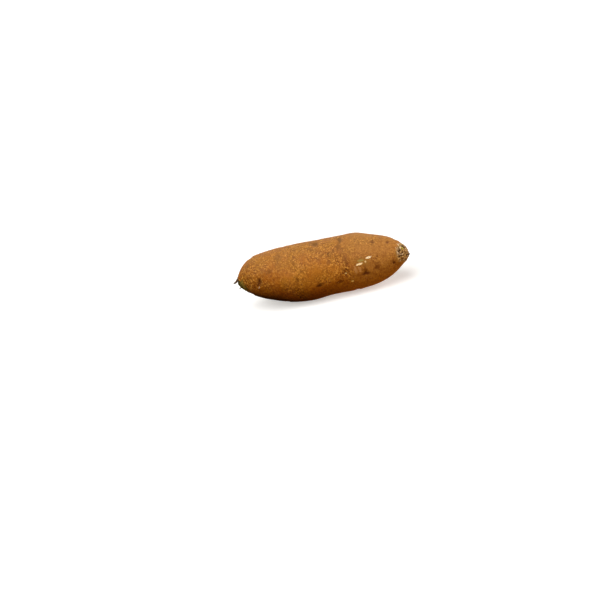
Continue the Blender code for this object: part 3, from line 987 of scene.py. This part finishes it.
@dataclass(frozen=True)
class Skin:
    """The whole outside of the root as one closed surface."""

    relief: Relief
    finish: SkinFinish
    pattern: SkinPattern
    rings: int = 420
    segments: int = 232
    fleck_height: float = 0.17
    pore_depth: float = 0.2
    wrinkle_size: float = 3.6
    wrinkle_height: float = 0.12
    wrinkle_stretch: Point = (2.2, 0.55, 0.55)
    wrinkle_detail: float = 2.0

    def sphere(self) -> tuple[Array, list[tuple[int, ...]]]:
        """Makes a unit sphere whose poles lie along X.

        Returns:
            Its points, one a row, and its faces, which look outwards.
        """
        turn, around = np.meshgrid(
            np.linspace(math.pi, 0, self.rings + 1)[1:-1],
            np.linspace(0, 2 * math.pi, self.segments, endpoint=False),
            indexing="ij",
        )
        rows = [np.cos(turn), -np.sin(turn) * np.cos(around), np.sin(turn) * np.sin(around)]
        middle = np.stack(rows, axis=-1).reshape(-1, 3)
        directions = np.vstack([[[-1.0, 0.0, 0.0]], middle, [[1.0, 0.0, 0.0]]])
        last = len(directions) - 1
        end = last - self.segments
        faces: list[tuple[int, ...]] = []
        for j in range(self.segments):
            k = (j + 1) % self.segments
            faces += [(0, 1 + j, 1 + k), (last, end + k, end + j)]
            for here in range(1, end, self.segments):
                there = here + self.segments
                faces.append((here + j, there + j, there + k, here + k))
        return directions, faces

    def surface(self) -> Piece:
        """Makes the surface from a sphere drawn out to the root's form, with its layers."""
        directions, faces = self.sphere()
        points, layers = self.relief.skin(directions)
        data = bpy.data.meshes.new("skin_surface")
        data.from_pydata(points * MM, [], faces)
        for layer, values in layers.items():
            data.attributes.new(layer.value, "FLOAT", "POINT").data.foreach_set("value", values)
        data.update()
        return shown("skin_surface", data)

    def recipe(self) -> Recipe:
        """Makes the tree that adds the finest relief: raised flecks, pores and wrinkles."""
        recipe = Recipe(
            "skin_relief",
            {
                "Fleck Height": self.fleck_height * MM,
                "Pore Depth": self.pore_depth * MM,
                "Wrinkle Size": self.wrinkle_size * MM,
                "Wrinkle Height": self.wrinkle_height * MM,
            },
        )
        given = recipe.given
        place = recipe.get("GeometryNodeInputPosition")
        _, flecks, pores = self.pattern.marks(recipe, place)
        values = {
            "Vector": recipe.stretched(place, self.wrinkle_stretch),
            "Scale": recipe.math("DIVIDE", 1.0, given["Wrinkle Size"]),
            "Detail": self.wrinkle_detail,
        }
        wrinkles = recipe.swing(recipe.get("ShaderNodeTexNoise", values))
        waved = recipe.times(wrinkles, given["Wrinkle Height"])
        raised = recipe.times(flecks, given["Fleck Height"])
        sunk = recipe.times(pores, given["Pore Depth"])
        total = recipe.plus(recipe.math("SUBTRACT", raised, sunk), waved)
        values = {0: recipe.get("GeometryNodeInputNormal"), "Scale": total}
        offset = recipe.get("ShaderNodeVectorMath", values, operation="SCALE")
        values = {"Geometry": given["Geometry"], "Offset": offset}
        return recipe.end(recipe.get("GeometryNodeSetPosition", values))

    def build(self) -> Piece:
        """Makes the finished skin, flat where the root lies on the floor."""
        piece = self.recipe().bake(self.surface(), "skin", {"Material": self.finish.material()})
        places = np.zeros(len(piece.data.vertices) * 3)
        piece.data.vertices.foreach_get("co", places)
        places[2::3] = np.maximum(places[2::3], 0.0)
        piece.data.vertices.foreach_set("co", places)
        piece.data.update()
        return dress(piece, CAD_NODE)


@dataclass(frozen=True)
class Strand:
    """The line that a thin stem follows, its thickness at each point, and how pale it is."""

    points: list[Array]
    thickness: list[float]
    paleness: list[float]


@dataclass(frozen=True)
class Strands:
    """Thin stems of one kind, made as round tubes along their lines."""

    name: str
    finish: StrandFinish
    sides: int

    def lines(self, strands: Sequence[Strand]) -> Piece:
        """Makes bare lines that hold each point's radius and paleness."""
        points: list[Array] = []
        edges: list[tuple[int, int]] = []
        radii: list[float] = []
        pale: list[float] = []
        for strand in strands:
            points += [point * MM for point in strand.points]
            edges += [(i - 1, i) for i in range(len(radii) + 1, len(points))]
            radii += [width / 2 * MM for width in strand.thickness]
            pale += strand.paleness
        data = bpy.data.meshes.new(self.name + "_lines")
        data.from_pydata(points, edges, [])
        for label, values in ((GIRTH, radii), (PALENESS, pale)):
            held = data.attributes.new(label, "FLOAT", "POINT")
            held.data.foreach_set("value", np.array(values, np.float32))
        return shown(self.name + "_lines", data)

    def recipe(self) -> Recipe:
        """Makes the tree that turns lines into tapered round tubes."""
        recipe = Recipe(self.name + "_tubes", {"Sides": self.sides})
        given = recipe.given
        circle = {"Resolution": given["Sides"], "Radius": 1.0}
        values = {
            "Curve": recipe.get("GeometryNodeMeshToCurve", {0: given["Geometry"]}),
            "Profile Curve": recipe.get("GeometryNodeCurvePrimitiveCircle", circle),
            "Scale": recipe.named(GIRTH),
            "Fill Caps": True,
        }
        return recipe.end(recipe.get("GeometryNodeCurveToMesh", values))

    def build(self, strands: Sequence[Strand]) -> None:
        """Makes the finished tubes along their lines."""
        values = {"Material": self.finish.material(), "Sides": self.sides}
        dress(self.recipe().bake(self.lines(strands), self.name, values))


@dataclass(frozen=True)
class SideRoots:
    """The tail root and the side roots that broke off short."""

    form: RootForm
    finish: StrandFinish
    sunk: float = 1.6
    points: int = 12
    sides: int = 10
    crook: float = 0.25
    crook_bends: float = 7.0
    knobs: float = 0.12
    tip_share: float = 0.55
    seed: int = 5

    def strand(self, sprout: Sprout, draw: random.Random) -> Strand:
        """Makes the line of one side root, from inside the flesh to its broken end."""
        base, across, lengthways, out = self.form.frame_on(sprout.along, sprout.around)
        lean = sprout.lean_along * lengthways + sprout.lean_around * across
        places, widths, pale = [], [], []
        for i in range(self.points):
            share = i / (self.points - 1)
            grown = share * (sprout.length + self.sunk)
            sway = self.crook * sprout.thickness * share * math.sin(self.crook_bends * share)
            places.append(base + out * (grown - self.sunk) + lean * grown * share + sway * across)
            knob = 1 + self.knobs * draw.uniform(-1, 1)
            widths.append(sprout.thickness * (1 - (1 - sprout.end_share) * share) * knob)
            pale.append(sprout.paleness * share)
        widths[-1] *= self.tip_share
        return Strand(places, widths, pale)

    def build(self) -> None:
        """Makes all the side roots as one piece."""
        draw = random.Random(self.seed)
        strands = [self.strand(sprout, draw) for sprout in SPROUTS]
        Strands("side_roots", self.finish, self.sides).build(strands)


@dataclass(frozen=True)
class CrownFibres:
    """Frayed fibres that lie in a swirl on the crown's scar."""

    relief: Relief
    finish: StrandFinish
    scar: Scar = CROWN_SCAR
    count: int = 26
    seed: int = 23
    points: int = 9
    sides: int = 7
    lengths: Pair = (3.0, 7.0)
    widths: Pair = (0.7, 1.4)
    headings: Pair = (35.0, 95.0)
    bends: Pair = (-0.3, 0.9)
    area_shares: Pair = (0.01, 0.72)
    fraying: Pair = (0.4, 1.0)
    tones: Pair = (0.25, 1.0)
    edge_share: float = 0.88
    edge_turn: float = 30.0
    tip_share: float = 0.15
    swell: Pair = (0.06, 0.92)
    lift: float = 0.3
    sunk: float = 0.38

    def on_skin(self, places: Array) -> Array:
        """Lays points on the skin.

        Args:
            places: How far each point lies across and lengthways from the scar's middle, and
                how far it is lifted off the skin.

        Returns:
            The points, one a row.
        """
        form = self.relief.form
        centre = form.direction_to(self.scar.along, self.scar.around)
        around = unit(np.cross(centre, [[1.0, 0.0, 0.0]]))
        there = centre
        for side, way in enumerate((around, np.cross(around, centre))):
            moved = form.bare(unit(centre + form.slope_step * way)) - form.bare(centre)
            there = there + way * places[:, side : side + 1] * form.slope_step / np.linalg.norm(moved)
        there = unit(there)
        points, _ = self.relief.skin(there)
        _, _, _, out = form.frame_at(there)
        return points + places[:, 2:] * out

    def strand(self, draw: random.Random) -> tuple[list[Point], list[float], float]:
        """Draws one fibre that bends along the swirl.

        Args:
            draw: Where its random values come from.

        Returns:
            Its points across, lengthways and off the skin, its thickness at each, and its tone.
        """
        reach = self.scar.radius * math.sqrt(draw.uniform(*self.area_shares))
        turn = draw.uniform(0, 2 * math.pi)
        x, y = reach * math.cos(turn), reach * math.sin(turn)
        heading = turn + math.radians(draw.uniform(*self.headings))
        step = draw.uniform(*self.lengths) / self.points
        width = draw.uniform(*self.widths)
        bend = draw.uniform(*self.bends) / self.points
        lift = self.lift * draw.uniform(*self.fraying)
        tone = draw.uniform(*self.tones)
        foot, end = self.swell
        places, widths = [], []
        for i in range(self.points):
            share = i / (self.points - 1)
            if math.hypot(x, y) > self.scar.radius * self.edge_share:
                heading += math.radians(self.edge_turn)
            places.append((x, y, lift * share**2 - self.sunk))
            swell = math.sin(math.pi * (foot + (end - foot) * share))
            widths.append(width * (self.tip_share + swell))
            x += math.cos(heading) * step
            y += math.sin(heading) * step
            heading += bend
        return places, widths, tone

    def build(self) -> None:
        """Makes all the fibres as one piece."""
        draw = random.Random(self.seed)
        drawn = [self.strand(draw) for _ in range(self.count)]
        laid = self.on_skin(np.array([place for places, _, _ in drawn for place in places]))
        strands = []
        for i, (_, widths, tone) in enumerate(drawn):
            points = list(laid[i * self.points : (i + 1) * self.points])
            strands.append(Strand(points, widths, [tone] * self.points))
        Strands("crown_fibres", self.finish, self.sides).build(strands)


@dataclass(frozen=True)
class Lenticels:
    """Tiny raised corky dashes in the skin, each lying around the root."""

    finish: StrandFinish
    per_square_mm: float = 0.022
    length: float = 1.25
    width: float = 0.42
    height: float = 0.16
    scales: Pair = (0.45, 1.15)
    roundness: int = 2
    most_marked: float = 0.1
    foot_height: float = 1.0
    seed: int = 31

    def recipe(self) -> Recipe:
        """Makes the tree that scatters the dashes over the clean skin."""
        recipe = Recipe(
            "lenticel_scatter",
            {
                "Density": self.per_square_mm / MM**2,
                "Length": self.length * MM,
                "Width": self.width * MM,
                "Height": self.height * MM,
                "Seed": self.seed,
            },
        )
        given = recipe.given
        marked: Any = 0.0
        for layer in (Layer.CROWN, Layer.TAIL, Layer.EYE):
            marked = recipe.plus(recipe.named(layer.value), marked)
        height = recipe.split(recipe.get("GeometryNodeInputPosition"))[2]
        above = recipe.math("GREATER_THAN", height, self.foot_height * MM)
        unmarked = recipe.math("LESS_THAN", marked, self.most_marked)
        values = {"Mesh": given["Geometry"], "Selection": recipe.times(unmarked, above)}
        values.update({"Density": given["Density"], "Seed": given["Seed"]})
        points = recipe.put("GeometryNodeDistributePointsOnFaces", values)
        values = {"Vector": points["Normal"]}
        upright = recipe.get("FunctionNodeAlignRotationToVector", values, axis="Z")
        values = {"Rotation": upright, "Vector": (1.0, 0.0, 0.0)}
        laid = recipe.get("FunctionNodeAlignRotationToVector", values, axis="Y", pivot_axis="Z")
        values = {0: given["Length"], 1: given["Width"], 2: given["Height"]}
        size = recipe.get("ShaderNodeCombineXYZ", values)
        least, most = self.scales
        drawn = recipe.put("FunctionNodeRandomValue", {2: least, 3: most, "Seed": given["Seed"]})[1]
        bead = {"Radius": 0.5, "Subdivisions": self.roundness}
        values = {
            "Points": points["Points"],
            "Instance": recipe.get("GeometryNodeMeshIcoSphere", bead),
            "Rotation": laid,
            "Scale": recipe.get("ShaderNodeVectorMath", {0: size, "Scale": drawn}, operation="SCALE"),
        }
        return recipe.end(recipe.get("GeometryNodeInstanceOnPoints", values))

    def build(self, skin: Piece) -> None:
        """Makes the dashes on a finished skin."""
        source = shown("lenticel_source", skin.data.copy())
        values = {"Material": self.finish.material(), "Seed": self.seed}
        dress(self.recipe().bake(source, "lenticels", values))


def direction(azimuth: float, elevation: float) -> Vector:
    """Gives the way from the root to something around it, from angles in degrees."""
    a, e = math.radians(azimuth), math.radians(elevation)
    return Vector((math.sin(a) * math.cos(e), -math.cos(a) * math.cos(e), math.sin(e)))


@dataclass(frozen=True)
class PhotoCamera:
    """The camera where the photographer held it, turned so that the root slants as pictured."""

    azimuth: float = 8.0
    elevation: float = 22.0
    roll: float = 15.76
    distance: float = 1270.75
    lens: float = 80.0
    sensor: float = 36.0
    picture_side: int = 600
    middle_pixel: Pair = (322.18, 266.39)

    def axes(self) -> tuple[Vector, Vector, Vector]:
        """Gives the picture's right and up directions, and the one back to the camera."""
        back = direction(self.azimuth, self.elevation)
        level = direction(self.azimuth + 90.0, 0.0)
        upright = back.cross(level)
        roll = math.radians(self.roll)
        right = math.cos(roll) * level - math.sin(roll) * upright
        return right, math.sin(roll) * level + math.cos(roll) * upright, back

    def place(self, target: Vector) -> None:
        """Makes the camera so that a target shows at the middle pixel.

        Args:
            target: The point, in metres, that shows there.
        """
        right, up, back = self.axes()
        per_pixel = self.distance * MM * self.sensor / self.lens / self.picture_side
        across = (self.middle_pixel[0] - self.picture_side / 2) * per_pixel
        above = (self.picture_side / 2 - self.middle_pixel[1]) * per_pixel
        data = bpy.data.cameras.new("photo_camera")
        data.lens = self.lens
        data.sensor_width = self.sensor
        data.dof.use_dof = False
        camera = shown("photo_camera", data)
        turned = Matrix((right, up, back)).transposed().to_4x4()
        stand = target - right * across - up * above + back * self.distance * MM
        camera.matrix_world = Matrix.Translation(stand) @ turned
        bpy.context.scene.camera = camera


@dataclass(frozen=True)
class Lamp:
    """A soft far light: where it stands, how wide it looks in degrees, and its strength."""

    name: str
    azimuth: float
    elevation: float
    spread: float
    strength: float


@dataclass(frozen=True)
class Studio:
    """A pale floor without a horizon, a white sky and soft lights around the root."""

    floor_side_m: float = 24.0
    floor_drop: float = 0.05
    floor_color: Color = (0.72, 0.72, 0.71, 1.0)
    unseen_color: Color = (0.0, 0.0, 0.0, 1.0)
    floor_glow: float = 0.5
    glow_color: Color = (1.0, 0.96, 0.91, 1.0)
    bounce: float = 0.45
    bounce_color: Color = (1.0, 0.57, 0.12, 1.0)
    bounce_reach: Pair = (-50.0, 60.0)
    sky_color: Color = (1.0, 1.0, 0.985, 1.0)
    sky_strength: float = 0.02
    sky_shown: float = 1.2
    sky_glint: float = 1.0
    glint_heights: Pair = (0.15, 0.95)
    behind_share: float = 0.6
    lamps: tuple[Lamp, ...] = (
        Lamp("key", -32.0, 58.0, 60.0, 3.4),
        Lamp("side", 90.0, 8.0, 60.0, 2.4),
        Lamp("back", 180.0, 14.0, 70.0, 0.55),
    )

    def floor_material(self) -> Material:
        """Makes a plain pale surface that glows a little where it is looked at.

        It sends warm light back up at the root's crown end and hardly any at the tail's.
        """
        coat = Coat("pale_floor")
        seen = coat.put("ShaderNodeLightPath")["Is Camera Ray"]
        along = coat.split(coat.place)[0]
        sent = coat.reach(along, self.bounce_reach, self.bounce)
        return coat.material(
            {
                "Base Color": coat.mix(seen, self.unseen_color, self.floor_color),
                "Emission Strength": coat.blend(seen, sent, self.floor_glow),
                "Emission Color": coat.mix(seen, self.bounce_color, self.glow_color),
                "Roughness": 1.0,
                "Specular IOR Level": 0.0,
            }
        )

    def floor(self) -> None:
        """Makes the floor, a hair under the root's flat spot."""
        mesh = bmesh.new()
        bmesh.ops.create_grid(mesh, x_segments=1, y_segments=1, size=self.floor_side_m / 2)
        data = bpy.data.meshes.new("floor")
        mesh.to_mesh(data)
        mesh.free()
        data.transform(Matrix.Translation((0.0, 0.0, -self.floor_drop * MM)))
        data.materials.append(self.floor_material())
        made = shown("floor", data)

    def sky(self) -> None:
        """Sets a sky that shows white, lights the root dimly and glints on its upper side.

        Glints see it white above and behind the root, and dark on the camera's side.
        """
        world = bpy.data.worlds.new("even_sky")
        world.use_nodes = True
        bench = Bench(world.node_tree)
        rays = bench.put("ShaderNodeLightPath")
        _, behind, above = bench.split(bench.put("ShaderNodeTexCoord")["Generated"])
        height = bench.plus(above, bench.times(behind, self.behind_share))
        glint = bench.ease(height, *self.glint_heights, self.sky_glint)
        lit = bench.blend(rays["Is Glossy Ray"], self.sky_strength, glint)
        strength = bench.blend(rays["Is Camera Ray"], lit, self.sky_shown)
        light = world.node_tree.nodes["Background"]
        bench.feed(light, {"Color": self.sky_color, "Strength": strength})
        bpy.context.scene.world = world

    def light(self, lamp: Lamp) -> None:
        """Hangs one soft light that shines on the root."""
        data = bpy.data.lights.new(lamp.name, "SUN")
        data.angle = math.radians(lamp.spread)
        data.energy = lamp.strength
        made = shown(lamp.name, data)
        made.location = direction(lamp.azimuth, lamp.elevation)
        made.rotation_euler = made.location.to_track_quat("Z", "Y").to_euler()

    def build(self) -> None:
        """Makes the floor, the sky and the lights, and shows colours as they are."""
        self.floor()
        self.sky()
        for lamp in self.lamps:
            self.light(lamp)
        bpy.context.scene.view_settings.view_transform = "Standard"
        bpy.context.scene.view_settings.look = "None"


def main() -> None:
    """Builds the root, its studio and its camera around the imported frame."""
    logging.basicConfig(level=logging.INFO, format="%(name)s: %(message)s")
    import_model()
    form = RootForm()
    relief = Relief(form)
    pattern = SkinPattern()
    bark = StrandFinish("root_bark", shade(96, 64, 36), shade(240, 196, 152), shade(48, 28, 14))
    fibre = StrandFinish("dry_fibre", shade(160, 118, 66), shade(250, 214, 166), shade(84, 50, 14))
    dash = StrandFinish("lenticel_cork", shade(196, 138, 76), shade(196, 138, 76), shade(156, 98, 44))
    skin = Skin(relief, SkinFinish(form, pattern), pattern).build()
    Lenticels(dash).build(skin)
    SideRoots(form, bark).build()
    CrownFibres(relief, fibre).build()
    Studio().build()
    PhotoCamera().place(Vector(form.middle) * MM)


if __name__ == "__main__":
    main()
